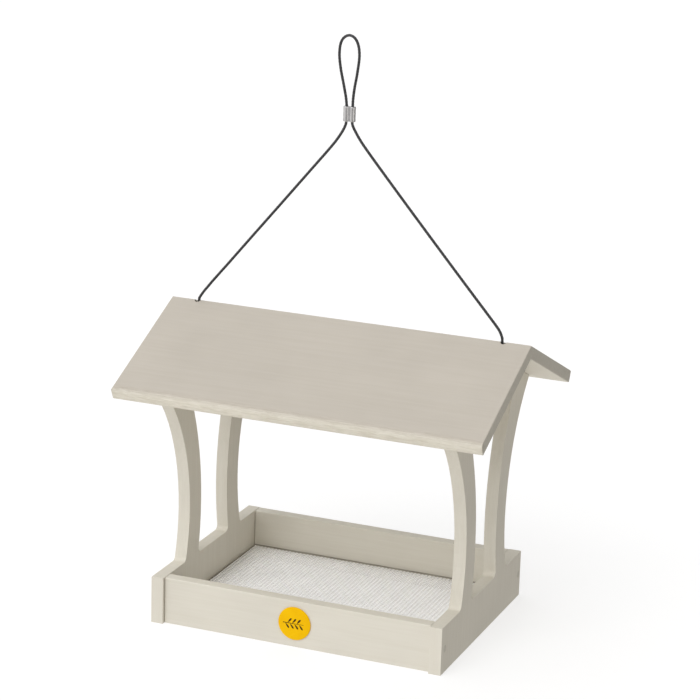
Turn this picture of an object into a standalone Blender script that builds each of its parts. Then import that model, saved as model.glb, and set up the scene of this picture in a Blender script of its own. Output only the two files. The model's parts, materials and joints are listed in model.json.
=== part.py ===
"""Hanging fly-through bird feeder: a wooden tray with a mesh floor under a gable roof.

Metres, +Z up. X runs along the ridge and -Y is the front. The origin is under the middle of the
tray, on the plane that the feeder stands on.
"""

import math

import bmesh
import bpy
from mathutils import Matrix, Vector

# Stock and clearances
BOARD = 0.0125
GAP = 0.0003
ARRIS = 0.0010
ARRIS_STEPS = 2
ROUND_STEPS = 5
WELD_DISTANCE = 1e-6
SQUARE_EDGE_ANGLE = math.radians(50)
SMOOTH_ANGLE = math.radians(40)

# Tray: two end panels with the front board set back between them and the rear board flush
TRAY_LENGTH = 0.306
TRAY_HEIGHT = 0.048
PANEL_END_Y = {"front": 0.1175, "rear": 0.116}
BOARD_RECESS = {"front": 0.0035, "rear": 0.0}
CLEAT_WIDTH = 0.009
FLOOR_TOP = 0.010
FLOOR_THICKNESS = 0.001
FLOOR_CLEARANCE = 0.0015

# End panels: hourglass legs either side of an opening, as half widths from the middle
WAIST_HEIGHT = 0.103
LEG_WAIST = 0.0575
LEG_TOP = 0.1135
OPENING_WAIST = 0.031
OPENING_TOP = 0.070
OPENING_TOP_HEIGHT = 0.242
FOOT_FILLET = 0.005
OPENING_TOP_FILLET = 0.010
LEG_STEPS = 14

# Roof
ROOF_LENGTH = 0.380
ROOF_DEPTH = 0.271
RIDGE_HEIGHT = 0.302
ROOF_PITCH = math.radians(24.2)
EAVE_ROUND = 0.0055
EAVE_UNDER_ROUND = 0.0025
EAVE_STEPS = 5

# Hanger: steel cable out of two holes in the ridge, closed into a loop by a crimped ferrule
CABLE_RADIUS = 0.0014
CABLE_ROUNDNESS = 2
CABLE_HOLE_RADIUS = 0.0032
CABLE_HOLE_X = 0.1618
CABLE_EXIT_X = 0.1603
PIVOT_HEIGHT = RIDGE_HEIGHT + 0.0017
SWING_CLEARANCE = 0.0021
CABLE_START = PIVOT_HEIGHT + SWING_CLEARANCE
FERRULE_X = -0.0043
BARREL_SPACING = 0.0062
BARREL_RADIUS = 0.0032
BARREL_WEB = 0.0024
BARREL_STEPS = 12
FERRULE_BOTTOM = 0.4996
FERRULE_TOP = 0.5142
FERRULE_ARRIS = 0.0004
WASHER_RADIUS = 0.0055
WASHER_THICKNESS = 0.001
STOP_RADIUS = 0.0031
STOP_LENGTH = 0.009
TAIL_OVERHANG = 0.002

# The cable's route in the plane Y = 0, from the left hole to the right one, as (x, z)
CABLE_ROUTE = (
    (-0.1592, CABLE_START),
    (-0.1579, 0.3078),
    (-0.1564, 0.3100),
    (-0.1545, 0.3126),
    (-0.1510, 0.3170),
    (-0.1455, 0.3239),
    (-0.1283, 0.3445),
    (-0.1077, 0.3695),
    (-0.0707, 0.4142),
    (-0.0435, 0.4472),
    (-0.0265, 0.4678),
    (-0.0188, 0.4775),
    (-0.0144, 0.4838),
    (-0.0107, 0.4899),
    (-0.0087, 0.4940),
    (-0.0076, 0.4972),
    (-0.0074, 0.4996),
    (-0.0074, 0.5069),
    (-0.0074, 0.5142),
    (-0.0084, 0.5225),
    (-0.0112, 0.5352),
    (-0.0147, 0.5504),
    (-0.0164, 0.5650),
    (-0.0140, 0.5775),
    (-0.0067, 0.5826),
    (0.0006, 0.5785),
    (0.0041, 0.5660),
    (0.0027, 0.5482),
    (0.0002, 0.5325),
    (-0.0009, 0.5225),
    (-0.0012, 0.5142),
    (-0.0012, 0.5069),
    (-0.0012, 0.4996),
    (-0.0010, 0.4972),
    (0.0003, 0.4940),
    (0.0026, 0.4901),
    (0.0060, 0.4848),
    (0.0113, 0.4777),
    (0.0305, 0.4553),
    (0.0697, 0.4107),
    (0.1173, 0.3572),
    (0.1510, 0.3197),
    (0.1541, 0.3161),
    (0.1562, 0.3135),
    (0.1578, 0.3110),
    (0.1589, 0.3088),
    (0.1600, CABLE_START),
)
STEPS_IN_LOOP = 3
STEPS_IN_RUN = 1

# Fasteners
SCREW_HEIGHT = 0.0245
SCREW_LENGTH = 0.035
SCREW_RADIUS = 0.00175
SCREW_HEAD_RADIUS = 0.0033
SCREW_HEAD_DEPTH = 0.0028
SCREW_RIM = 0.0003
SCREW_TIP = 0.005
SCREW_SEGMENTS = 16
BRAD_LENGTH = 0.028
BRAD_RADIUS = 0.0008
BRAD_HEAD_RADIUS = 0.0014
BRAD_HEAD_DEPTH = 0.0010
BRAD_TIP = 0.0016
BRAD_COVER = 0.0012
BRAD_SEGMENTS = 10
BRAD_ALONG_SLOPE = {"upper": 0.036, "lower": 0.096}

# Badge
BADGE_RADIUS = 0.017
BADGE_THICKNESS = 0.001
BADGE_EDGE = 0.0003
BADGE_HEIGHT = 0.0248
BADGE_SEGMENTS = 40

# Derived places
PANEL_OUTER_X = TRAY_LENGTH / 2
PANEL_INNER_X = PANEL_OUTER_X - BOARD
PANEL_MIDDLE_X = PANEL_OUTER_X - BOARD / 2
BOARD_OUTER_Y = {face: end - BOARD_RECESS[face] for face, end in PANEL_END_Y.items()}
BOARD_INNER_Y = {face: outer - BOARD for face, outer in BOARD_OUTER_Y.items()}
BOARD_MIDDLE_Y = {face: outer - BOARD / 2 for face, outer in BOARD_OUTER_Y.items()}
CLEAT_HEIGHT = FLOOR_TOP - FLOOR_THICKNESS - GAP
EAVE_TOP = RIDGE_HEIGHT - ROOF_DEPTH / 2 * math.tan(ROOF_PITCH)
RIDGE_UNDERSIDE = RIDGE_HEIGHT - BOARD / math.cos(ROOF_PITCH)
WASHER_TOP = RIDGE_UNDERSIDE - WASHER_RADIUS * math.tan(ROOF_PITCH) - GAP
STOP_TOP = WASHER_TOP - WASHER_THICKNESS - GAP
SIDES = {"left": -1, "right": 1}
FACES = {"front": -1, "rear": 1}


def clear_scene():
    for obj in list(bpy.data.objects):
        bpy.data.objects.remove(obj, do_unlink=True)


def make_material(name, colour, roughness, metallic):
    material = bpy.data.materials.new(name)
    material.use_nodes = True
    shader = material.node_tree.nodes["Principled BSDF"]
    shader.inputs["Base Color"].default_value = (*colour, 1.0)
    shader.inputs["Roughness"].default_value = roughness
    shader.inputs["Metallic"].default_value = metallic
    material.diffuse_color = (*colour, 1.0)
    return material


def add_object(name, bm, material):
    """Turns a bmesh into a named object and links it to the scene."""
    bmesh.ops.recalc_face_normals(bm, faces=bm.faces)
    mesh = bpy.data.meshes.new(name)
    bm.to_mesh(mesh)
    bm.free()
    obj = bpy.data.objects.new(name, mesh)
    bpy.context.scene.collection.objects.link(obj)
    if material is not None:
        mesh.materials.append(material)
    return obj


def shade_round(obj):
    obj.data.shade_smooth()
    obj.data.set_sharp_from_angle(angle=SMOOTH_ANGLE)


def round_arrises(obj, width):
    """Rounds every square edge; the shallow steps of curved outlines stay as they are."""
    bevel = obj.modifiers.new("Rounded arrises", "BEVEL")
    bevel.width = width
    bevel.segments = ARRIS_STEPS
    bevel.limit_method = "ANGLE"
    bevel.angle_limit = SQUARE_EDGE_ANGLE
    bevel.use_clamp_overlap = True


def cut(obj, cutter):
    boolean = obj.modifiers.new(cutter.name, "BOOLEAN")
    boolean.operation = "DIFFERENCE"
    boolean.solver = "EXACT"
    boolean.object = cutter


def as_cutter(obj):
    obj.hide_render = True
    obj.display_type = "WIRE"
    return obj


def extrude_faces(bm, faces, vector):
    extruded = bmesh.ops.extrude_face_region(bm, geom=faces)
    moved = [item for item in extruded["geom"] if isinstance(item, bmesh.types.BMVert)]
    bmesh.ops.translate(bm, verts=moved, vec=vector)


def make_block(name, low, high, material):
    """A board with square edges, given its lowest and highest corners."""
    bm = bmesh.new()
    bmesh.ops.create_cube(bm, size=1.0)
    size = Vector(high) - Vector(low)
    middle = (Vector(high) + Vector(low)) / 2
    bmesh.ops.scale(bm, verts=bm.verts, vec=size)
    bmesh.ops.translate(bm, verts=bm.verts, vec=middle)
    return add_object(name, bm, material)


def make_turned(name, profile, segments, placement, material, closed=False):
    """Spins (radius, height) points about Z, then places the solid; closed profiles are rings."""
    bm = bmesh.new()
    verts = [bm.verts.new((radius, 0.0, height)) for radius, height in profile]
    edges = [bm.edges.new(pair) for pair in zip(verts, verts[1:])]
    if closed:
        edges.append(bm.edges.new((verts[-1], verts[0])))
    bmesh.ops.spin(bm, geom=verts + edges, axis=(0, 0, 1), cent=(0, 0, 0),
                   angle=math.tau, steps=segments, use_merge=True, use_duplicate=False)
    bmesh.ops.remove_doubles(bm, verts=bm.verts, dist=WELD_DISTANCE)
    bmesh.ops.transform(bm, verts=bm.verts, matrix=placement)
    obj = add_object(name, bm, material)
    shade_round(obj)
    return obj


def arc_fillet(before, corner, after, radius):
    """Points of the arc that rounds the corner between two straight edges."""
    before, corner, after = Vector(before), Vector(corner), Vector(after)
    along_in = (before - corner).normalized()
    along_out = (after - corner).normalized()
    half_angle = along_in.angle(along_out) / 2
    bisector = (along_in + along_out).normalized()
    centre = corner + bisector * radius / math.sin(half_angle)
    start = corner + along_in * radius / math.tan(half_angle) - centre
    end = corner + along_out * radius / math.tan(half_angle) - centre
    sweep = start.angle_signed(end)
    points = []
    for step in range(ROUND_STEPS + 1):
        turn = Matrix.Rotation(-sweep * step / ROUND_STEPS, 2)
        points.append(tuple(centre + turn @ start))
    return points


def hourglass_edge(waist, top, top_height, bottom_height):
    """(y, z) points up one arc that is upright at the waist and passes through its top point."""
    rise = top_height - WAIST_HEIGHT
    flare = top - waist
    radius = (flare ** 2 + rise ** 2) / (2 * flare)
    points = []
    for step in range(LEG_STEPS + 1):
        height = bottom_height + (top_height - bottom_height) * step / LEG_STEPS
        offset = radius - math.sqrt(radius ** 2 - (height - WAIST_HEIGHT) ** 2)
        points.append((waist + offset, height))
    return points


def under_roof(y, clearance=GAP):
    return RIDGE_UNDERSIDE - abs(y) * math.tan(ROOF_PITCH) - clearance / math.cos(ROOF_PITCH)


def half_panel_outline(edge):
    """Half of an end panel out to its edge, anticlockwise from the middle of its bottom."""
    leg = hourglass_edge(LEG_WAIST, LEG_TOP, under_roof(LEG_TOP), TRAY_HEIGHT)
    opening = hourglass_edge(OPENING_WAIST, OPENING_TOP, OPENING_TOP_HEIGHT, TRAY_HEIGHT)
    outline = [(0.0, 0.0), (edge, 0.0), (edge, TRAY_HEIGHT)]
    outline += arc_fillet((edge, TRAY_HEIGHT), leg[0], leg[1], FOOT_FILLET)
    outline += leg[1:]
    outline += [(0.0, under_roof(0.0)), (0.0, OPENING_TOP_HEIGHT)]
    outline += arc_fillet((0.0, OPENING_TOP_HEIGHT), opening[-1], opening[-2], OPENING_TOP_FILLET)
    outline += reversed(opening[1:-1])
    outline += arc_fillet(opening[1], opening[0], (0.0, TRAY_HEIGHT), FOOT_FILLET)
    outline.append((0.0, TRAY_HEIGHT))
    return outline


def make_end_panel(side, material):
    """One board: the tray's end below, two curved legs and the gable that carries the roof."""
    low_x = min(SIDES[side] * PANEL_OUTER_X, SIDES[side] * PANEL_INNER_X)
    bm = bmesh.new()
    for face, direction in FACES.items():
        half = half_panel_outline(PANEL_END_Y[face])
        verts = [bm.verts.new((low_x, direction * y, z)) for y, z in half]
        bm.faces.new(verts if direction == 1 else reversed(verts))
    bmesh.ops.remove_doubles(bm, verts=bm.verts, dist=WELD_DISTANCE)
    extrude_faces(bm, bm.faces[:], Vector((BOARD, 0, 0)))
    panel = add_object(f"end_panel_{side}", bm, material)
    round_arrises(panel, ARRIS)
    return panel


def make_tray_board(face, material):
    near = FACES[face] * BOARD_OUTER_Y[face]
    far = FACES[face] * BOARD_INNER_Y[face]
    reach = PANEL_INNER_X - GAP
    low = (-reach, min(near, far), 0.0)
    high = (reach, max(near, far), TRAY_HEIGHT)
    board = make_block(f"tray_board_{face}", low, high, material)
    round_arrises(board, ARRIS)
    return board


def make_cleats(material):
    """Four strips around the foot of the tray, which the mesh floor lies on."""
    reach = PANEL_INNER_X - GAP
    for face, sign in FACES.items():
        outer_y = BOARD_INNER_Y[face] - GAP
        inner_y = outer_y - CLEAT_WIDTH
        low = (-reach, min(sign * outer_y, sign * inner_y), 0.0)
        high = (reach, max(sign * outer_y, sign * inner_y), CLEAT_HEIGHT)
        make_block(f"cleat_{face}", low, high, material)
    front_end = -BOARD_INNER_Y["front"] + CLEAT_WIDTH + 2 * GAP
    rear_end = BOARD_INNER_Y["rear"] - CLEAT_WIDTH - 2 * GAP
    for side, sign in SIDES.items():
        low = (min(sign * reach, sign * (reach - CLEAT_WIDTH)), front_end, 0.0)
        high = (max(sign * reach, sign * (reach - CLEAT_WIDTH)), rear_end, CLEAT_HEIGHT)
        make_block(f"cleat_{side}", low, high, material)


def make_mesh_floor(material):
    half_length = PANEL_INNER_X - FLOOR_CLEARANCE
    front_edge = -BOARD_INNER_Y["front"] + FLOOR_CLEARANCE
    rear_edge = BOARD_INNER_Y["rear"] - FLOOR_CLEARANCE
    low = (-half_length, front_edge, FLOOR_TOP - FLOOR_THICKNESS)
    high = (half_length, rear_edge, FLOOR_TOP)
    return make_block("mesh_floor", low, high, material)


def mark_round_edges(obj, direction):
    """Eave arrises get the full rounding, the slab's ends a light one, the mitre none."""
    bm = bmesh.new()
    bm.from_mesh(obj.data)
    weights = bm.edges.layers.float.new("bevel_weight_edge")
    eave_y = ROOF_DEPTH / 2 - BOARD
    for edge in bm.edges:
        first, second = (vert.co for vert in edge.verts)
        along = abs(first.x - second.x) > ROOF_LENGTH / 2
        at_eave = min(first.y * direction, second.y * direction) > eave_y
        at_mitre = max(first.y * direction, second.y * direction) < BOARD
        if along and at_eave:
            is_top = (first.z + second.z) / 2 > EAVE_TOP - BOARD / 2
            edge[weights] = 1.0 if is_top else EAVE_UNDER_ROUND / EAVE_ROUND
        elif not along and not at_mitre:
            edge[weights] = ARRIS / EAVE_ROUND
    bm.to_mesh(obj.data)
    bm.free()


def make_roof_slab(face, material):
    direction = FACES[face]
    thickness_y = BOARD * math.sin(ROOF_PITCH)
    thickness_z = BOARD * math.cos(ROOF_PITCH)
    mitre_y = GAP / 2
    mitre_drop = mitre_y * math.tan(ROOF_PITCH)
    eave_y = ROOF_DEPTH / 2
    profile = [
        (mitre_y, RIDGE_HEIGHT - mitre_drop),
        (eave_y, EAVE_TOP),
        (eave_y - thickness_y, EAVE_TOP - thickness_z),
        (mitre_y, RIDGE_UNDERSIDE - mitre_drop),
    ]
    bm = bmesh.new()
    verts = [bm.verts.new((-ROOF_LENGTH / 2, direction * y, z)) for y, z in profile]
    bm.faces.new(verts)
    extrude_faces(bm, bm.faces[:], Vector((ROOF_LENGTH, 0, 0)))
    slab = add_object(f"roof_slab_{face}", bm, material)
    mark_round_edges(slab, direction)
    bevel = slab.modifiers.new("Rounded eave", "BEVEL")
    bevel.width = EAVE_ROUND
    bevel.segments = EAVE_STEPS
    bevel.limit_method = "WEIGHT"
    return slab


def make_cable_holes(slabs):
    for side, sign in SIDES.items():
        placement = Matrix.Translation((sign * CABLE_HOLE_X, 0, RIDGE_UNDERSIDE - BOARD))
        height = RIDGE_HEIGHT - RIDGE_UNDERSIDE + 2 * BOARD
        profile = [(0, 0), (CABLE_HOLE_RADIUS, 0), (CABLE_HOLE_RADIUS, height), (0, height)]
        hole = make_turned(f"cable_hole_{side}", profile, SCREW_SEGMENTS, placement, None)
        as_cutter(hole)
        for slab in slabs:
            cut(slab, hole)


def facing(direction):
    """Rotation that turns +Z to the given direction."""
    return Vector(direction).to_track_quat("Z", "Y").to_matrix().to_4x4()


def screw_profile(clearance=0.0):
    """Countersunk screw from tip to head, with the head's face at height 0 and the tip below it."""
    shank = SCREW_RADIUS + clearance
    head = SCREW_HEAD_RADIUS + clearance
    return [
        (0, -SCREW_LENGTH - clearance),
        (shank, -SCREW_LENGTH - clearance + SCREW_TIP),
        (shank, -SCREW_HEAD_DEPTH - clearance),
        (head, -SCREW_RIM - clearance),
        (head, clearance),
        (0, clearance),
    ]


def make_tray_screws(panels, boards, material):
    """Two screws through each end panel, into the ends of the front and rear boards."""
    for side, sign in SIDES.items():
        for face, direction in FACES.items():
            place = (sign * (PANEL_OUTER_X - GAP), direction * BOARD_MIDDLE_Y[face], SCREW_HEIGHT)
            placement = Matrix.Translation(place) @ facing((sign, 0, 0))
            make_turned(f"tray_screw_{side}_{face}", screw_profile(), SCREW_SEGMENTS,
                        placement, material)
            bore = make_turned(f"screw_bore_{side}_{face}", screw_profile(GAP),
                               SCREW_SEGMENTS, placement, None)
            as_cutter(bore)
            cut(panels[side], bore)
            cut(boards[face], bore)


def brad_profile():
    """Brad from tip to head, with the head's face at height 0 and the tip below it."""
    return [
        (0, -BRAD_LENGTH),
        (BRAD_RADIUS, -BRAD_LENGTH + BRAD_TIP),
        (BRAD_RADIUS, -BRAD_HEAD_DEPTH),
        (BRAD_HEAD_RADIUS, -BRAD_HEAD_DEPTH),
        (BRAD_HEAD_RADIUS, 0),
        (0, 0),
    ]


def brad_bore_profile():
    """A bore that is as wide as the brad's head all the way, open under the slab."""
    wide = BRAD_HEAD_RADIUS + GAP
    return [(0, -BRAD_LENGTH - GAP), (wide, -BRAD_LENGTH - GAP), (wide, GAP), (0, GAP)]


def make_roof_brads(slabs, panels, material):
    """Brads from each slab into the panel tops; filler and paint cover their heads."""
    for face, direction in FACES.items():
        normal = Vector((0, direction * math.sin(ROOF_PITCH), math.cos(ROOF_PITCH)))
        for side, sign in SIDES.items():
            for level, distance in BRAD_ALONG_SLOPE.items():
                surface = Vector((sign * PANEL_MIDDLE_X, direction * distance,
                                  RIDGE_HEIGHT - distance * math.tan(ROOF_PITCH)))
                head = surface - normal * BRAD_COVER
                placement = Matrix.Translation(head) @ facing(normal)
                name = f"{side}_{face}_{level}"
                make_turned(f"roof_brad_{name}", brad_profile(), BRAD_SEGMENTS,
                            placement, material)
                bore = make_turned(f"brad_bore_{name}", brad_bore_profile(), BRAD_SEGMENTS,
                                   placement, None)
                as_cutter(bore)
                cut(slabs[face], bore)
                cut(panels[side], bore)


def smooth_point(points, index, fraction):
    """A point of the Catmull-Rom curve through the points, between index and index + 1."""
    last = len(points) - 1
    p0 = Vector(points[max(index - 1, 0)])
    p1 = Vector(points[index])
    p2 = Vector(points[index + 1])
    p3 = Vector(points[min(index + 2, last)])
    slope_in = (p2 - p0) / (p2 - p0).length
    slope_out = (p3 - p1) / (p3 - p1).length
    span = (p2 - p1).length
    t = fraction
    return ((2 * t ** 3 - 3 * t ** 2 + 1) * p1 + (t ** 3 - 2 * t ** 2 + t) * span * slope_in
            + (3 * t ** 2 - 2 * t ** 3) * p2 + (t ** 3 - t ** 2) * span * slope_out)


def smooth_route(points):
    """The route's points with more of them in the loop, where it bends most."""
    route = []
    for index in range(len(points) - 1):
        in_loop = min(points[index][1], points[index + 1][1]) >= FERRULE_TOP - GAP
        steps = STEPS_IN_LOOP if in_loop else STEPS_IN_RUN
        for step in range(steps):
            route.append(smooth_point(points, index, step / steps))
    route.append(Vector(points[-1]))
    return [(point.x, 0.0, point.y) for point in route]


def make_tube(name, points, radius, material):
    curve = bpy.data.curves.new(name, "CURVE")
    curve.dimensions = "3D"
    curve.bevel_depth = radius
    curve.bevel_resolution = CABLE_ROUNDNESS
    curve.use_fill_caps = True
    spline = curve.splines.new("POLY")
    spline.points.add(len(points) - 1)
    for spline_point, point in zip(spline.points, points):
        spline_point.co = (*point, 1.0)
    curve.materials.append(material)
    tube = bpy.data.objects.new(name, curve)
    bpy.context.scene.collection.objects.link(tube)
    return tube


def figure_eight_outline():
    """Outline of two barrels side by side along X, joined by a web, about the origin."""
    reach = math.asin(BARREL_WEB / 2 / BARREL_RADIUS)
    points = []
    for centre, start in ((BARREL_SPACING / 2, -math.pi + reach), (-BARREL_SPACING / 2, reach)):
        sweep = math.tau - 2 * reach
        for step in range(BARREL_STEPS + 1):
            angle = start + sweep * step / BARREL_STEPS
            points.append((centre + BARREL_RADIUS * math.cos(angle),
                           BARREL_RADIUS * math.sin(angle)))
    return points


def make_ferrule(material):
    """Double-barrel sleeve, one barrel for each leg of the loop."""
    bm = bmesh.new()
    verts = [bm.verts.new((FERRULE_X + x, y, FERRULE_BOTTOM)) for x, y in figure_eight_outline()]
    bm.faces.new(verts)
    extrude_faces(bm, bm.faces[:], Vector((0, 0, FERRULE_TOP - FERRULE_BOTTOM)))
    ferrule = add_object("loop_ferrule", bm, material)
    round_arrises(ferrule, FERRULE_ARRIS)
    shade_round(ferrule)
    for side, sign in SIDES.items():
        place = (FERRULE_X + sign * BARREL_SPACING / 2, 0, FERRULE_BOTTOM - BARREL_RADIUS)
        height = FERRULE_TOP - FERRULE_BOTTOM + 2 * BARREL_RADIUS
        radius = CABLE_RADIUS + GAP
        profile = [(0, 0), (radius, 0), (radius, height), (0, height)]
        bore = make_turned(f"barrel_bore_{side}", profile, SCREW_SEGMENTS,
                           Matrix.Translation(place), None)
        as_cutter(bore)
        cut(ferrule, bore)
    return ferrule


def ring_profile(outer, inner, bottom, top):
    return [(inner, bottom), (outer, bottom), (outer, top), (inner, top)]


def make_cable_ends(cable_material, metal_material):
    """Under each hole: the cable's tail, a washer against the roof and a crimped stop."""
    bore = CABLE_RADIUS + GAP
    stop_bottom = STOP_TOP - STOP_LENGTH
    for side, sign in SIDES.items():
        x = sign * CABLE_EXIT_X
        placement = Matrix.Translation((x, 0, 0))
        washer = ring_profile(WASHER_RADIUS, bore, WASHER_TOP - WASHER_THICKNESS, WASHER_TOP)
        make_turned(f"washer_{side}", washer, SCREW_SEGMENTS, placement, metal_material, closed=True)
        stop = ring_profile(STOP_RADIUS, bore, stop_bottom, STOP_TOP)
        make_turned(f"stop_ferrule_{side}", stop, SCREW_SEGMENTS, placement, metal_material,
                    closed=True)
        tail_bottom = stop_bottom - TAIL_OVERHANG
        middle = (PIVOT_HEIGHT + tail_bottom) / 2
        points = [(x, 0, tail_bottom), (x, 0, middle), (x, 0, PIVOT_HEIGHT)]
        make_tube(f"cable_tail_{side}", points, CABLE_RADIUS, cable_material)


def make_hanger(cable_material, metal_material):
    """Cable and ferrule swing about the line through the two holes."""
    pivot = bpy.data.objects.new("hanger_pivot", None)
    pivot.location = (0, 0, PIVOT_HEIGHT)
    bpy.context.scene.collection.objects.link(pivot)
    cable = make_tube("hanger_cable", smooth_route(CABLE_ROUTE), CABLE_RADIUS, cable_material)
    ferrule = make_ferrule(metal_material)
    for obj in (cable, ferrule):
        obj.parent = pivot
        obj.matrix_parent_inverse = Matrix.Translation((0, 0, -PIVOT_HEIGHT))


def make_badge(material):
    """A thin round badge on the front board."""
    profile = [
        (0, 0),
        (BADGE_RADIUS, 0),
        (BADGE_RADIUS, BADGE_THICKNESS - BADGE_EDGE),
        (BADGE_RADIUS - BADGE_EDGE, BADGE_THICKNESS),
        (0, BADGE_THICKNESS),
    ]
    place = (0, -BOARD_OUTER_Y["front"] - GAP, BADGE_HEIGHT)
    placement = Matrix.Translation(place) @ facing((0, -1, 0))
    return make_turned("badge", profile, BADGE_SEGMENTS, placement, material)


def build():
    clear_scene()
    paint = make_material("painted_wood", (0.62, 0.585, 0.51), 0.62, 0.0)
    mesh_coating = make_material("mesh_coating", (0.74, 0.73, 0.71), 0.45, 0.0)
    cable_steel = make_material("cable_steel", (0.075, 0.075, 0.08), 0.42, 0.6)
    aluminium = make_material("aluminium", (0.62, 0.62, 0.63), 0.32, 1.0)
    fastener_steel = make_material("fastener_steel", (0.42, 0.42, 0.43), 0.38, 1.0)
    badge_yellow = make_material("badge_yellow", (0.93, 0.53, 0.0), 0.4, 0.0)

    panels = {side: make_end_panel(side, paint) for side in SIDES}
    boards = {face: make_tray_board(face, paint) for face in FACES}
    slabs = {face: make_roof_slab(face, paint) for face in FACES}
    make_cleats(paint)
    make_mesh_floor(mesh_coating)
    make_cable_holes(slabs.values())
    make_tray_screws(panels, boards, fastener_steel)
    make_roof_brads(slabs, panels, fastener_steel)
    make_hanger(cable_steel, aluminium)
    make_cable_ends(cable_steel, aluminium)
    make_badge(badge_yellow)


build()
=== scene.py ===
import json
import math

import bmesh
import bpy
from mathutils import Matrix, Vector


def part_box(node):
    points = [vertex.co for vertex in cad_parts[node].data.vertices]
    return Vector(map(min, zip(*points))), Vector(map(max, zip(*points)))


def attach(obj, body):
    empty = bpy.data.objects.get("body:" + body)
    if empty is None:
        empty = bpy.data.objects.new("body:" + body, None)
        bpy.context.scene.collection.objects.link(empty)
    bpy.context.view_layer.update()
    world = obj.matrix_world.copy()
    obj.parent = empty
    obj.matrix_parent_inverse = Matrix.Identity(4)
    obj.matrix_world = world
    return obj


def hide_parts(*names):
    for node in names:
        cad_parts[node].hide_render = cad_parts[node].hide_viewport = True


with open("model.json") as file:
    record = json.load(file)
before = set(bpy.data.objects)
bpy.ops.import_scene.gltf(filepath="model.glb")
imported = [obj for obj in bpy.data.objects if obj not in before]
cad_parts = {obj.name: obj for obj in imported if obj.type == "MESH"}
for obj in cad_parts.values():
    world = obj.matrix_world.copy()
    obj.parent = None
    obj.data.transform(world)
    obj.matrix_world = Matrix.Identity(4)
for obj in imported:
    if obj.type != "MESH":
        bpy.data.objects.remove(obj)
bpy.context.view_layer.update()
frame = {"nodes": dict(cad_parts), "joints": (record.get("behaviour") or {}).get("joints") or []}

# Camera
CAMERA_AZIMUTH = math.radians(21.68)
CAMERA_ELEVATION = math.radians(16.30)
CAMERA_ROLL = math.radians(1.75)
CAMERA_DISTANCE = 2.584
CAMERA_TARGET = Vector((0.0037, 0.0, 0.2722))
CAMERA_LENS = 135.3
SENSOR_WIDTH = 36.0

# Hanger cable: the route in the plane Y = 0, as (x, z), from the left hole to the right one
CABLE_RADIUS = 0.0014
CABLE_EXIT_X = 0.1603
PIVOT_HEIGHT = frame["joints"][0]["pos_m"][2]
CABLE_ROUTE = (
    (-CABLE_EXIT_X, PIVOT_HEIGHT),
    (-0.1592, 0.3058),
    (-0.1579, 0.3078),
    (-0.1564, 0.3100),
    (-0.1545, 0.3126),
    (-0.1510, 0.3170),
    (-0.1455, 0.3239),
    (-0.1283, 0.3445),
    (-0.1077, 0.3695),
    (-0.0707, 0.4142),
    (-0.0435, 0.4472),
    (-0.0265, 0.4678),
    (-0.0188, 0.4775),
    (-0.0144, 0.4838),
    (-0.0107, 0.4899),
    (-0.0087, 0.4940),
    (-0.0076, 0.4972),
    (-0.0074, 0.4996),
    (-0.0074, 0.5069),
    (-0.0074, 0.5142),
    (-0.0084, 0.5225),
    (-0.0112, 0.5352),
    (-0.0147, 0.5504),
    (-0.0164, 0.5650),
    (-0.0140, 0.5775),
    (-0.0067, 0.5826),
    (0.0006, 0.5785),
    (0.0041, 0.5660),
    (0.0027, 0.5482),
    (0.0002, 0.5325),
    (-0.0009, 0.5225),
    (-0.0012, 0.5142),
    (-0.0012, 0.5069),
    (-0.0012, 0.4996),
    (-0.0010, 0.4972),
    (0.0003, 0.4940),
    (0.0026, 0.4901),
    (0.0060, 0.4848),
    (0.0113, 0.4777),
    (0.0305, 0.4553),
    (0.0697, 0.4107),
    (0.1173, 0.3572),
    (0.1510, 0.3197),
    (0.1541, 0.3161),
    (0.1562, 0.3135),
    (0.1578, 0.3110),
    (0.1589, 0.3088),
    (0.1600, 0.3058),
    (CABLE_EXIT_X, PIVOT_HEIGHT),
)
RING_SPACING = 0.001
STRANDS = 6
STRAND_PROFILE = (0.80, 0.95, 1.0, 0.95)
STRAND_PITCH = 0.018
END_STEPS = 3

# Crimped sleeve. Crimps are at shares of its height, and their profile is (share of its height, depth)
SLEEVE_WEB = 0.0024
SLEEVE_STEPS = 14
SLEEVE_RIM = 0.0005
SLEEVE_RIM_DROP = 0.00035
SLEEVE_CRIMPS = (0.30, 0.70)
SLEEVE_CRIMP_PROFILE = ((-0.16, 0.0), (-0.08, 0.00007), (0.0, 0.0001), (0.08, 0.00007), (0.16, 0.0))

# Perforated screen of the tray's floor
HOLE_PITCH = 0.00403
HOLE_RADIUS = 0.00135
HOLE_SIDES = 12
SCREEN_THICKNESS = 0.0008
SCREEN_MARGIN = 0.0012

# Badge and its mark, a twig with leaves on alternate sides
BADGE_SIDES = 72
MARK_PROUD = 0.00006
MARK_THICKNESS = 0.0002
LEAVES = 7
LEAF_LENGTH = 0.0062
LEAF_WIDTH = 0.0024
LEAF_SPACING = 0.0024
LEAF_LEAN = math.radians(52)
LEAF_STEPS = 24
FIRST_LEAF_X = -0.0092
LEAF_ROOT_Z = 0.0003
TWIG_STEM = ((-0.0118, -0.0003), (0.0098, -0.0002), (0.0098, 0.0002), (-0.0118, 0.0004))

ROOF_PITCH = math.radians(24.2)
SMOOTH_ANGLE = math.radians(40)
SCREEN_SMOOTH_ANGLE = math.radians(50)
CABLE_SMOOTH_ANGLE = math.radians(75)

# Paint tones, linear
PAINT = (0.69, 0.66, 0.58)
# Darker tone for the roof's faces that look up: painted shade on the roof's top.
ROOF_TOP_PAINTED_SHADE = (0.535, 0.494, 0.431)
# Dark tone of the cleats: painted shade that darkens the gap and the holes above them.
CLEAT_SHADE_TONE = (0.20, 0.165, 0.125)
# Dark line along the screen's edge: painted shadow in the gap between screen and board.
SEAM_SHADOW_TONE = (0.16, 0.135, 0.10)
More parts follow.
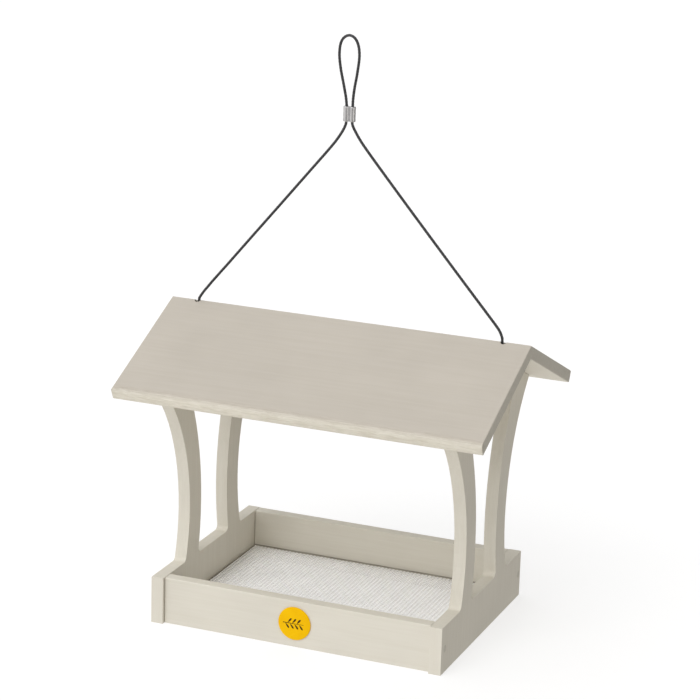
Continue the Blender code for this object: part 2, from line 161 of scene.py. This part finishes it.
# Lighter tone on the arrises: wear, and a painted highlight where the bevels catch the light.
WORN_AND_HIGHLIGHT_TONE = (0.80, 0.775, 0.69)
FILLED_HEAD_SHARE = 0.86
# Share of the paint's tone that the slabs' end faces keep: painted shade on the ends.
SLAB_END_SHADE_SHARE = 0.76

# Pairs of dark and light tones that multiply the paint
GRAIN_SHADES = ((0.98, 0.975, 0.965), (1.01, 1.01, 1.01))
BRUSH_SHADES = ((0.98, 0.975, 0.97), (1.01, 1.01, 1.01))
EAVE_SHADES = ((0.88, 0.86, 0.825), (1.07, 1.07, 1.07))

# Noise features per metre (the brush and the grain: across and along it), and bands of the paint's detail
BRUSH_ACROSS, BRUSH_ALONG = 2000.0, 28.0
GRAIN_ACROSS, GRAIN_ALONG = 300.0, 11.0
CLOUD_SCALE = (16.0, 16.0, 16.0)
SPECK_SCALE = (900.0, 900.0, 900.0)
EAVE_GRAIN_SCALE = (60.0, 620.0, 620.0)
EAVE_GRAIN_FROM_Y, EAVE_GRAIN_FULL_Y = 0.1265, 0.1315
SEAM_CORE, SEAM_EDGE = 0.0004, 0.0010
PAINT_BUMP = 0.0001

# Stage and light. Suns: name, azimuth, elevation, strength, angular size, colour
FLOOR_RADIUS = 18.0
BACKDROP_RADIUS = 17.5
STAGE_WHITE = (1.0, 1.0, 1.0)
SURROUND_ABOVE = ((0.95, 0.95, 0.96), (0.11, 0.105, 0.097))
SURROUND_BELOW = ((0.98, 0.965, 0.945), (0.30, 0.29, 0.28))
BOUNCE = (1.28, 1.25, 1.19)
SUNS = (
    ("key_light", -10, 38, 0.375, 50, (1.0, 0.995, 0.985)),
    ("overhead", 0, 82, 0.15, 90, (1.0, 1.0, 1.0)),
    ("side_fill", 68, 8, 0.21, 60, (1.0, 0.98, 0.95)),
)


def place_camera():
    data = bpy.data.cameras.new("camera")
    data.lens = CAMERA_LENS
    data.sensor_width = SENSOR_WIDTH
    camera = bpy.data.objects.new("camera", data)
    bpy.context.scene.collection.objects.link(camera)
    back = Vector((
        math.sin(CAMERA_AZIMUTH) * math.cos(CAMERA_ELEVATION),
        -math.cos(CAMERA_AZIMUTH) * math.cos(CAMERA_ELEVATION),
        math.sin(CAMERA_ELEVATION),
    ))
    right = (-back).cross(Vector((0, 0, 1))).normalized()
    up = right.cross(-back)
    turned_right = math.cos(CAMERA_ROLL) * right + math.sin(CAMERA_ROLL) * up
    turned_up = -math.sin(CAMERA_ROLL) * right + math.cos(CAMERA_ROLL) * up
    rotation = Matrix((turned_right, turned_up, back)).transposed()
    place = CAMERA_TARGET + back * CAMERA_DISTANCE
    camera.matrix_world = Matrix.Translation(place) @ rotation.to_4x4()
    bpy.context.scene.camera = camera


# ---- mesh helpers ----

def add_piece(name, bm, material, smooth_angle=SMOOTH_ANGLE):
    """Turns the bmesh into an object, smooth apart from edges sharper than smooth_angle."""
    bmesh.ops.recalc_face_normals(bm, faces=bm.faces)
    mesh = bpy.data.meshes.new(name)
    bm.to_mesh(mesh)
    bm.free()
    mesh.materials.append(material)
    mesh.shade_smooth()
    mesh.set_sharp_from_angle(angle=smooth_angle)
    piece = bpy.data.objects.new(name, mesh)
    bpy.context.scene.collection.objects.link(piece)
    return piece


def skin_rings(bm, rings):
    """Joins rings of points into one tube, closed at both ends."""
    made = [[bm.verts.new(point) for point in ring] for ring in rings]
    count = len(made[0])
    for near, far in zip(made, made[1:]):
        for i in range(count):
            j = (i + 1) % count
            bm.faces.new((near[i], near[j], far[j], far[i]))
    bm.faces.new(made[0])
    bm.faces.new(reversed(made[-1]))


# ---- shader helpers ----

def new_material(name):
    material = bpy.data.materials.new(name)
    material.use_nodes = True
    tree = material.node_tree
    return material, tree, tree.nodes["Principled BSDF"]


def math_node(tree, operation, *values):
    node = tree.nodes.new("ShaderNodeMath")
    node.operation = operation
    for socket, value in zip(node.inputs, values):
        if isinstance(value, (int, float)):
            socket.default_value = value
        else:
            tree.links.new(value, socket)
    return node.outputs[0]


def object_coordinates(tree, scale):
    """Object coordinates stretched so that a noise of scale 1 has features of 1 / scale."""
    coordinates = tree.nodes.new("ShaderNodeTexCoord")
    mapping = tree.nodes.new("ShaderNodeMapping")
    mapping.inputs["Scale"].default_value = scale
    tree.links.new(coordinates.outputs["Object"], mapping.inputs["Vector"])
    return mapping.outputs["Vector"]


def split_coordinates(tree, kind):
    """The X, Y and Z of one kind of texture coordinates."""
    coordinates = tree.nodes.new("ShaderNodeTexCoord")
    split = tree.nodes.new("ShaderNodeSeparateXYZ")
    tree.links.new(coordinates.outputs[kind], split.inputs["Vector"])
    return split.outputs["X"], split.outputs["Y"], split.outputs["Z"]


def noise(tree, scale, detail=3.0, roughness=0.5, distortion=0.0):
    node = tree.nodes.new("ShaderNodeTexNoise")
    node.inputs["Scale"].default_value = 1.0
    node.inputs["Detail"].default_value = detail
    node.inputs["Roughness"].default_value = roughness
    node.inputs["Distortion"].default_value = distortion
    tree.links.new(object_coordinates(tree, scale), node.inputs["Vector"])
    return node.outputs[0]


def remap(tree, value, low, high, to_low=0.0, to_high=1.0):
    node = tree.nodes.new("ShaderNodeMapRange")
    node.inputs["From Min"].default_value = low
    node.inputs["From Max"].default_value = high
    node.inputs["To Min"].default_value = to_low
    node.inputs["To Max"].default_value = to_high
    tree.links.new(value, node.inputs["Value"])
    return node.outputs["Result"]


def mix_colour(tree, factor, first, second):
    node = tree.nodes.new("ShaderNodeMix")
    node.data_type = "RGBA"
    tree.links.new(factor, node.inputs[0])
    for socket, value in ((node.inputs[6], first), (node.inputs[7], second)):
        if isinstance(value, tuple):
            socket.default_value = (*value, 1.0)
        else:
            tree.links.new(value, socket)
    return node.outputs[2]


def multiply_colours(tree, first, second):
    node = tree.nodes.new("ShaderNodeMix")
    node.data_type = "RGBA"
    node.blend_type = "MULTIPLY"
    node.inputs[0].default_value = 1.0
    tree.links.new(first, node.inputs[6])
    tree.links.new(second, node.inputs[7])
    return node.outputs[2]


def add_bump(tree, shader, height, distance):
    bump = tree.nodes.new("ShaderNodeBump")
    bump.inputs["Strength"].default_value = 1.0
    bump.inputs["Distance"].default_value = distance
    tree.links.new(height, bump.inputs["Height"])
    tree.links.new(bump.outputs["Normal"], shader.inputs["Normal"])


def scaled(colour, factor):
    return tuple(channel * factor for channel in colour)


def arris_factor(tree, tilt, outline):
    """1 on rounded arrises, 0 on flat faces. An outlined board's edges may face any way across X."""
    coordinates = tree.nodes.new("ShaderNodeTexCoord")
    rotate = tree.nodes.new("ShaderNodeVectorRotate")
    rotate.rotation_type = "X_AXIS"
    rotate.inputs["Angle"].default_value = tilt
    tree.links.new(coordinates.outputs["Normal"], rotate.inputs["Vector"])
    split = tree.nodes.new("ShaderNodeSeparateXYZ")
    tree.links.new(rotate.outputs["Vector"], split.inputs["Vector"])
    squares = [math_node(tree, "MULTIPLY", axis, axis) for axis in split.outputs[:3]]
    if outline:
        across = math_node(tree, "SUBTRACT", 1.0, squares[0])
        flat = math_node(tree, "MAXIMUM", squares[0], across)
    else:
        larger = math_node(tree, "MAXIMUM", squares[1], squares[2])
        flat = math_node(tree, "MAXIMUM", squares[0], larger)
    return remap(tree, flat, 0.97, 0.72)


def add_eave_grain_and_end_shade(tree, colour, height, bands, ends):
    """Open grain along the eaves, and end faces darkened to a share of the paint's tone, with grain
    bands: painted shade on the ends.
    """
    open_grain = noise(tree, EAVE_GRAIN_SCALE, detail=5.0, roughness=0.7, distortion=0.8)
    reach = math_node(tree, "ABSOLUTE", split_coordinates(tree, "Object")[1])
    near_eave = remap(tree, reach, EAVE_GRAIN_FROM_Y, EAVE_GRAIN_FULL_Y)
    grained = mix_colour(tree, remap(tree, open_grain, 0.38, 0.62), *EAVE_SHADES)
    colour = mix_colour(tree, near_eave, colour, multiply_colours(tree, colour, grained))
    eave_height = math_node(tree, "MULTIPLY", math_node(tree, "MULTIPLY", near_eave, open_grain), 2.5)
    facing_x = math_node(tree, "ABSOLUTE", split_coordinates(tree, "Normal")[0])
    # End faces: grain bands and a darker share of the tone, which is painted shade.
    end_shade_tone = mix_colour(tree, bands, scaled((1.0, 0.99, 0.98), ends * 0.94),
                          scaled((1.0, 1.0, 1.0), ends * 1.06))
    is_end = remap(tree, facing_x, 0.6, 0.95)
    colour = mix_colour(tree, is_end, colour, multiply_colours(tree, colour, end_shade_tone))
    return colour, math_node(tree, "ADD", height, eave_height)


def add_seam_shadow(tree, colour, streaks, seam_height, seam_reach):
    """The broken dark line on the boards' inner faces along the screen's edge: painted shadow in the gap
    between screen and board.
    """
    _, y, z = split_coordinates(tree, "Object")
    off_height = math_node(tree, "ABSOLUTE", math_node(tree, "SUBTRACT", z, seam_height))
    near_seam = remap(tree, off_height, SEAM_CORE, SEAM_EDGE, 1.0, 0.0)
    inner_face = math_node(tree, "LESS_THAN", math_node(tree, "ABSOLUTE", y), seam_reach)
    broken = math_node(tree, "MULTIPLY", near_seam, remap(tree, streaks, 0.35, 0.65, 0.35, 1.0))
    return mix_colour(tree, math_node(tree, "MULTIPLY", broken, inner_face), colour, SEAM_SHADOW_TONE)


def painted_wood(name, grain, tone=PAINT, tilt=0.0, outline=False, top=None, ends=None, wear_and_highlight=0.4,
                 shadow_seam=None):
    """Brushed matt paint over wood. grain is the axis that the brush and the grain follow.

    top is a darker tone for faces that look up: painted shade on the roof's top. ends is the share of the
    paint's tone that the end faces keep: painted shade on the slabs' ends, with grain bands.
    The last argument gives the height of the dark line at the screen, a painted shadow, and its reach in
    Y.
    """
    material, tree, shader = new_material(name)
    along = "XYZ".index(grain)
    fine = [BRUSH_ACROSS] * 3
    fine[along] = BRUSH_ALONG
    wide = [GRAIN_ACROSS] * 3
    wide[along] = GRAIN_ALONG
    streaks = noise(tree, fine, detail=4.0, roughness=0.6)
    bands = noise(tree, wide, detail=3.0, distortion=0.4)
    specks = noise(tree, SPECK_SCALE, detail=2.0)
    clouds = remap(tree, noise(tree, CLOUD_SCALE, detail=2.0), 0.3, 0.7)
    colour = mix_colour(tree, clouds, scaled(tone, 0.975), scaled(tone, 1.025))
    # Faces that look up take the darker top tone, which is painted shade.
    if top is not None:
        top_shade_tone = mix_colour(tree, clouds, scaled(top, 0.97), scaled(top, 1.03))
        facing_up = remap(tree, split_coordinates(tree, "Normal")[2], 0.10, 0.85)
        colour = mix_colour(tree, facing_up, colour, top_shade_tone)
    grain_shade = mix_colour(tree, remap(tree, bands, 0.35, 0.65), *GRAIN_SHADES)
    brush_shade = mix_colour(tree, remap(tree, streaks, 0.3, 0.7), *BRUSH_SHADES)
    colour = multiply_colours(tree, multiply_colours(tree, colour, grain_shade), brush_shade)
    height = math_node(tree, "ADD", math_node(tree, "MULTIPLY", streaks, 0.5),
                       math_node(tree, "MULTIPLY", bands, 0.4))
    if ends is not None:
        colour, height = add_eave_grain_and_end_shade(tree, colour, height, bands, ends)
    # The dark line along the screen's edge is painted shadow.
    if shadow_seam is not None:
        colour = add_seam_shadow(tree, colour, streaks, *shadow_seam)
    # Arrises lighten: partly wear, partly a painted highlight on the bevels.
    worn_and_highlight = math_node(tree, "MULTIPLY", arris_factor(tree, tilt, outline),
                     remap(tree, specks, 0.35, 0.6, 0.25, 1.0))
    colour = mix_colour(tree, math_node(tree, "MULTIPLY", worn_and_highlight, wear_and_highlight), colour, WORN_AND_HIGHLIGHT_TONE)
    tree.links.new(colour, shader.inputs["Base Color"])
    tree.links.new(remap(tree, streaks, 0.2, 0.8, 0.50, 0.68), shader.inputs["Roughness"])
    height = math_node(tree, "ADD", height, math_node(tree, "MULTIPLY", specks, 0.15))
    add_bump(tree, shader, height, PAINT_BUMP)
    return material


def metal(name, dark, light, roughness, metallic, scale, bump_distance):
    """Metal whose tone and gloss vary with a stretched noise."""
    material, tree, shader = new_material(name)
    grain = noise(tree, scale, detail=4.0, roughness=0.6)
    colour = mix_colour(tree, remap(tree, grain, 0.3, 0.7), dark, light)
    gloss = remap(tree, grain, 0.2, 0.8, roughness - 0.07, roughness + 0.1)
    tree.links.new(colour, shader.inputs["Base Color"])
    tree.links.new(gloss, shader.inputs["Roughness"])
    shader.inputs["Metallic"].default_value = metallic
    add_bump(tree, shader, grain, bump_distance)
    return material


def mesh_coating_material():
    """Lumpy pale powder coat."""
    material, tree, shader = new_material("look_mesh_coating")
    lumps = noise(tree, (700.0, 700.0, 700.0), detail=3.0)
    clouds = noise(tree, (30.0, 30.0, 30.0), detail=2.0)
    colour = mix_colour(tree, remap(tree, clouds, 0.3, 0.7), (0.88, 0.875, 0.875),
                        (0.93, 0.925, 0.925))
    tree.links.new(colour, shader.inputs["Base Color"])
    tree.links.new(remap(tree, lumps, 0.3, 0.7, 0.32, 0.5), shader.inputs["Roughness"])
    add_bump(tree, shader, lumps, 0.00006)
    return material


def badge_film_material(name, dark, light):
    """Satin printed film with a fine print grain."""
    material, tree, shader = new_material(name)
    print_grain = noise(tree, (1500.0, 1500.0, 1500.0), detail=2.0)
    clouds = noise(tree, (60.0, 60.0, 60.0), detail=2.0)
    colour = mix_colour(tree, remap(tree, clouds, 0.3, 0.7), dark, light)
    tree.links.new(colour, shader.inputs["Base Color"])
    tree.links.new(remap(tree, print_grain, 0.3, 0.7, 0.30, 0.42), shader.inputs["Roughness"])
    shader.inputs["Specular IOR Level"].default_value = 0.08
    add_bump(tree, shader, print_grain, 0.00002)
    return material


# ---- hanger ----

def smooth_route(points, spacing):
    """The smooth curve through the (x, z) points, as close points in the plane Y = 0."""
    last = len(points) - 1
    vectors = [Vector(point) for point in points]
    route = []
    for index in range(last):
        p0, p1, p2, p3 = (vectors[min(max(index + shift, 0), last)] for shift in (-1, 0, 1, 2))
        slope_in = (p2 - p0).normalized()
        slope_out = (p3 - p1).normalized()
        span = (p2 - p1).length
        steps = max(1, round(span / spacing))
        for step in range(steps):
            t = step / steps
            point = ((2 * t ** 3 - 3 * t ** 2 + 1) * p1 + (t ** 3 - 2 * t ** 2 + t) * span * slope_in
                     + (3 * t ** 2 - 2 * t ** 3) * p2 + (t ** 3 - t ** 2) * span * slope_out)
            route.append(Vector((point.x, 0.0, point.y)))
    route.append(Vector((points[-1][0], 0.0, points[-1][1])))
    return route


def route_length(route):
    return sum((b - a).length for a, b in zip(route, route[1:]))


def cable_rings(route, start_length):
    """Cross-sections of a stranded cable along the route, with a rounded end at each end."""
    stations = []
    travelled = start_length
    for index, point in enumerate(route):
        if index:
            travelled += (point - route[index - 1]).length
        ahead = route[min(index + 1, len(route) - 1)]
        behind = route[max(index - 1, 0)]
        stations.append((point, (ahead - behind).normalized(), travelled, 1.0))
    first, last = stations[0], stations[-1]
    for step in range(1, END_STEPS + 1):
        turn = math.pi / 2 * step / (END_STEPS + 0.4)
        shrink, reach = math.cos(turn), CABLE_RADIUS * math.sin(turn)
        stations.insert(0, (first[0] - first[1] * reach, first[1], first[2] - reach, shrink))
        stations.append((last[0] + last[1] * reach, last[1], last[2] + reach, shrink))
    count = STRANDS * len(STRAND_PROFILE)
    rings = []
    for point, tangent, length, shrink in stations:
        across = Vector((0, 1, 0))
        aside = tangent.cross(across)
        twist = math.tau * length / STRAND_PITCH
        ring = []
        for i in range(count):
            angle = twist + math.tau * i / count
            radius = CABLE_RADIUS * STRAND_PROFILE[i % len(STRAND_PROFILE)] * shrink
            ring.append(point + (across * math.cos(angle) + aside * math.sin(angle)) * radius)
        rings.append(ring)
    return rings


def make_cable(name, route, start_length, material):
    bm = bmesh.new()
    skin_rings(bm, cable_rings(route, start_length))
    return add_piece(name, bm, material, CABLE_SMOOTH_ANGLE)


def ferrule_outline(radius, spacing):
    """Two barrels side by side along X, joined by a web, about the origin."""
    reach = math.asin(SLEEVE_WEB / 2 / radius)
    points = []
    for centre, start in ((spacing / 2, -math.pi + reach), (-spacing / 2, reach)):
        sweep = math.tau - 2 * reach
        for step in range(SLEEVE_STEPS + 1):
            angle = start + sweep * step / SLEEVE_STEPS
            points.append((centre + radius * math.cos(angle), radius * math.sin(angle)))
    return points


def make_loop_ferrule(material):
    """Crimped double sleeve: two shallow crimps and a rounded rim at each end."""
    low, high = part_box("loop_ferrule")
    radius = (high.y - low.y) / 2
    spacing = (high.x - low.x) - 2 * radius
    middle = (low + high) / 2
    height = high.z - low.z
    rim = [(0.0, SLEEVE_RIM_DROP), (SLEEVE_RIM * 0.35, SLEEVE_RIM_DROP * 0.3), (SLEEVE_RIM, 0.0)]
    heights = list(rim)
    for centre in SLEEVE_CRIMPS:
        for shift, depth in SLEEVE_CRIMP_PROFILE:
            heights.append(((centre + shift) * height, depth))
    heights += [(height - inset, drop) for inset, drop in reversed(rim)]
    bm = bmesh.new()
    rings = []
    for z, depth in heights:
        outline = ferrule_outline(radius - depth, spacing)
        rings.append([(middle.x + x, middle.y + y, low.z + z) for x, y in outline])
    skin_rings(bm, rings)
    return add_piece("crimped_sleeve", bm, material)


# ---- tray floor ----

def make_screen(material):
    """Thin sheet with a grid of round holes, cut through the holes along its front and rear."""
    low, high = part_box("mesh_floor")
    margin = Vector((SCREEN_MARGIN, SCREEN_MARGIN, 0.0))
    low, high = low + margin, high - margin
    columns = round((high.x - low.x) / HOLE_PITCH)
    rows = round((high.y - low.y) / HOLE_PITCH)
    step_x = (high.x - low.x) / columns
    step_y = (high.y - low.y) / rows
    bm = bmesh.new()
    corners = {}

    def corner(column, half_row):
        """The one vertex at the joint of the holes' square cells."""
        key = (column, half_row)
        if key not in corners:
            place = (low.x + column * step_x, low.y + half_row * step_y / 2, high.z)
            corners[key] = bm.verts.new(place)
        return corners[key]

    def rim(column, half_row, first, count):
        """Vertices round a hole, from the angle first, both counted in sides."""
        centre_x = low.x + (column + 0.5) * step_x
        centre_y = low.y + half_row * step_y / 2
        angles = [math.tau * (first + k) / HOLE_SIDES for k in range(count)]
        return [bm.verts.new((centre_x + HOLE_RADIUS * math.cos(angle),
                              centre_y + HOLE_RADIUS * math.sin(angle), high.z)) for angle in angles]

    quarter, half = HOLE_SIDES // 4, HOLE_SIDES // 2
    for column in range(columns):
        for row in range(1, rows):
            centre = 2 * row
            square = [corner(column + 1, centre - 1), corner(column + 1, centre + 1),
                      corner(column, centre + 1), corner(column, centre - 1)]
            hole = rim(column, centre, -quarter / 2, HOLE_SIDES)
            for k in range(4):
                arc = [hole[(k * quarter + i) % HOLE_SIDES] for i in range(quarter + 1)]
                bm.faces.new([square[k], square[(k + 1) % 4], *reversed(arc)])
        front_rim = rim(column, 0, 0, half + 1)
        bm.faces.new([corner(column + 1, 0), corner(column + 1, 1),
                      corner(column, 1), corner(column, 0), *reversed(front_rim)])
        rear_rim = rim(column, 2 * rows, half, half + 1)
        bm.faces.new([corner(column, 2 * rows), corner(column, 2 * rows - 1),
                      corner(column + 1, 2 * rows - 1), corner(column + 1, 2 * rows),
                      *reversed(rear_rim)])
    extruded = bmesh.ops.extrude_face_region(bm, geom=bm.faces[:])
    moved = [item for item in extruded["geom"] if isinstance(item, bmesh.types.BMVert)]
    bmesh.ops.translate(bm, verts=moved, vec=(0, 0, -SCREEN_THICKNESS))
    return add_piece("perforated_floor", bm, material, SCREEN_SMOOTH_ANGLE)


# ---- badge ----

def add_mark(bm, centre, face_y, outline):
    """A thin flat shape on the badge, from its (x, z) outline about the badge's centre."""
    rings = []
    for y in (face_y + MARK_THICKNESS, face_y):
        rings.append([(centre.x + x, y, centre.z + z) for x, z in outline])
    skin_rings(bm, rings)


def make_badge(film, ink):
    """A slightly domed disc, with a leafy twig as its mark."""
    low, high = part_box("badge")
    centre = (low + high) / 2
    radius = (high.x - low.x) / 2
    thickness = high.y - low.y
    profile = [(radius, 0.0), (radius, 0.55), (radius - 0.0002, 0.8), (radius - 0.0006, 0.94),
               (radius * 0.6, 0.98), (radius * 0.02, 1.0)]
    bm = bmesh.new()
    rings = []
    for ring_radius, share in profile:
        y = high.y - thickness * share
        rings.append([
            (centre.x + ring_radius * math.cos(math.tau * i / BADGE_SIDES), y,
             centre.z + ring_radius * math.sin(math.tau * i / BADGE_SIDES))
            for i in range(BADGE_SIDES)
        ])
    skin_rings(bm, rings)
    disc = add_piece("badge_disc", bm, film)
    bm = bmesh.new()
    face_y = low.y - MARK_PROUD
    for index in range(LEAVES):
        above = 1 if index % 2 else -1
        lean = above * LEAF_LEAN
        root_x, root_z = LEAF_SPACING * index + FIRST_LEAF_X, above * LEAF_ROOT_Z
        outline = []
        for i in range(LEAF_STEPS):
            angle = math.tau * i / LEAF_STEPS
            along = LEAF_LENGTH / 2 * (1 - math.cos(angle))
            across = LEAF_WIDTH / 2 * math.sin(angle) * math.sin(angle / 2)
            outline.append((root_x + along * math.cos(lean) - across * math.sin(lean),
                            root_z + along * math.sin(lean) + across * math.cos(lean)))
        add_mark(bm, centre, face_y, outline)
    add_mark(bm, centre, face_y, TWIG_STEM)
    mark = add_piece("badge_mark", bm, ink)
    return disc, mark


# ---- floor, backdrop and light ----

def emission_mix(name, diffuse_share, glow):
    """White that glows and shows a share of the light and shadow that fall on it."""
    material, _, shader = new_material(name)
    shader.inputs["Base Color"].default_value = (*scaled(STAGE_WHITE, diffuse_share), 1.0)
    shader.inputs["Roughness"].default_value = 0.9
    shader.inputs["Specular IOR Level"].default_value = 0.0
    shader.inputs["Emission Color"].default_value = (*STAGE_WHITE, 1.0)
    shader.inputs["Emission Strength"].default_value = glow
    return material


def make_stage():
    bm = bmesh.new()
    bmesh.ops.create_circle(bm, cap_ends=True, segments=96, radius=FLOOR_RADIUS)
    ground = add_piece("studio_floor", bm, emission_mix("studio_floor", 0.42, 0.64))
    bm = bmesh.new()
    bmesh.ops.create_uvsphere(bm, u_segments=64, v_segments=32, radius=BACKDROP_RADIUS)
    backdrop = add_piece("studio_backdrop", bm, emission_mix("studio_backdrop", 0.0, 0.97))
    for obj in (ground, backdrop):
        obj.visible_diffuse = False
        obj.visible_shadow = False
        obj.visible_glossy = False


def add_sun(name, azimuth, elevation, strength, spread, colour):
    """Azimuth 0 is the front (-Y), positive towards +X, in degrees."""
    data = bpy.data.lights.new(name, "SUN")
    data.energy = strength * math.pi
    data.angle = math.radians(spread)
    data.color = colour
    light = bpy.data.objects.new(name, data)
    a, e = math.radians(azimuth), math.radians(elevation)
    towards = Vector((math.sin(a) * math.cos(e), -math.cos(a) * math.cos(e), math.sin(e)))
    light.rotation_mode = "QUATERNION"
    light.rotation_quaternion = towards.to_track_quat("Z", "Y")
    bpy.context.scene.collection.objects.link(light)


def light_world(above, below, nadir):
    """Soft surround: a (left, right) pair of colours above the horizon, one below, and the nadir."""
    world = bpy.data.worlds.new("studio")
    bpy.context.scene.world = world
    world.use_nodes = True
    tree = world.node_tree
    background = tree.nodes["Background"]
    x, _, z = split_coordinates(tree, "Generated")
    to_right = remap(tree, x, -0.7, 0.7)
    surround = mix_colour(tree, remap(tree, z, -0.25, 0.15), mix_colour(tree, to_right, *below),
                          mix_colour(tree, to_right, *above))
    bounce = remap(tree, z, -0.55, -0.90)
    tree.links.new(mix_colour(tree, bounce, surround, nadir), background.inputs["Color"])


# ---- build ----

place_camera()
bpy.context.scene.view_settings.view_transform = "Standard"

cable_look = metal("look_cable", (0.035, 0.035, 0.038), (0.10, 0.10, 0.105), 0.36, 0.85,
                   (900.0, 900.0, 900.0), 0.00004)
aluminium_look = metal("look_aluminium", (0.42, 0.415, 0.42), (0.74, 0.735, 0.74), 0.24, 1.0,
                       (1300.0, 1300.0, 60.0), 0.00003)
steel_look = metal("look_fastener_steel", (0.32, 0.32, 0.33), (0.48, 0.48, 0.49), 0.36, 1.0,
                   (1200.0, 1200.0, 1200.0), 0.00003)

route = smooth_route(CABLE_ROUTE, RING_SPACING)
cable_length = route_length(route)
cable = make_cable("stranded_cable", route, 0.0, cable_look)
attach(cable, "hanger")
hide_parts("hanger_cable")

sleeve = make_loop_ferrule(aluminium_look)
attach(sleeve, "hanger")
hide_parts("loop_ferrule")

for side, sign in (("left", -1), ("right", 1)):
    low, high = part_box(f"cable_tail_{side}")
    bottom, top = (sign * CABLE_EXIT_X, low.z + CABLE_RADIUS), (sign * CABLE_EXIT_X, PIVOT_HEIGHT)
    ends = (bottom, top) if side == "left" else (top, bottom)
    strand_start = bottom[1] - top[1] if side == "left" else cable_length
    tail_route = smooth_route(ends, RING_SPACING)
    tail = make_cable(f"stranded_tail_{side}", tail_route, strand_start, cable_look)
    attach(tail, "feeder")
    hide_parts(f"cable_tail_{side}")

paints = {
    "panel": painted_wood("look_paint_panel", "Z", outline=True),
    # The boards carry a painted shadow line where they meet the screen.
    "board": painted_wood("look_paint_board", "X",
                          shadow_seam=(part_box("mesh_floor")[1].z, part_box("tray_board_rear")[0].y + 0.0005)),
    # The cleats' dark tone is painted shade under the screen.
    "cleat_along": painted_wood("look_cleat_along", "X", tone=CLEAT_SHADE_TONE, wear_and_highlight=0.1),
    "cleat_across": painted_wood("look_cleat_across", "Y", tone=CLEAT_SHADE_TONE, wear_and_highlight=0.1),
    "filled_head": painted_wood("look_paint_head", "Z", tone=scaled(PAINT, FILLED_HEAD_SHARE)),
    "slab_front": painted_wood("look_paint_slab_front", "X", tilt=-ROOF_PITCH,
                               top=ROOF_TOP_PAINTED_SHADE, ends=SLAB_END_SHADE_SHARE, wear_and_highlight=0.1),
    "slab_rear": painted_wood("look_paint_slab_rear", "X", tilt=ROOF_PITCH,
                              top=ROOF_TOP_PAINTED_SHADE, ends=SLAB_END_SHADE_SHARE, wear_and_highlight=0.1),
}
looks = {
    "end_panel": paints["panel"],
    "tray_board": paints["board"],
    "tray_screw": paints["filled_head"],
    "cleat_front": paints["cleat_along"],
    "cleat_rear": paints["cleat_along"],
    "cleat_left": paints["cleat_across"],
    "cleat_right": paints["cleat_across"],
    "roof_slab_front": paints["slab_front"],
    "roof_slab_rear": paints["slab_rear"],
    "roof_brad": steel_look,
    "stop_ferrule": aluminium_look,
    "washer": aluminium_look,
}
for node, obj in frame["nodes"].items():
    for prefix, look in looks.items():
        if node.startswith(prefix):
            obj.data.materials.clear()
            obj.data.materials.append(look)

screen = make_screen(mesh_coating_material())
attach(screen, "floor")
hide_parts("mesh_floor")

film_look = badge_film_material("look_badge_film", (0.85, 0.475, 0.0), (0.90, 0.525, 0.0))
ink_look = badge_film_material("look_badge_ink", (0.045, 0.022, 0.004), (0.075, 0.038, 0.008))
disc, mark = make_badge(film_look, ink_look)
for piece in (disc, mark):
    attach(piece, "feeder")
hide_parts("badge")

make_stage()
light_world(SURROUND_ABOVE, SURROUND_BELOW, BOUNCE)
for sun in SUNS:
    add_sun(*sun)
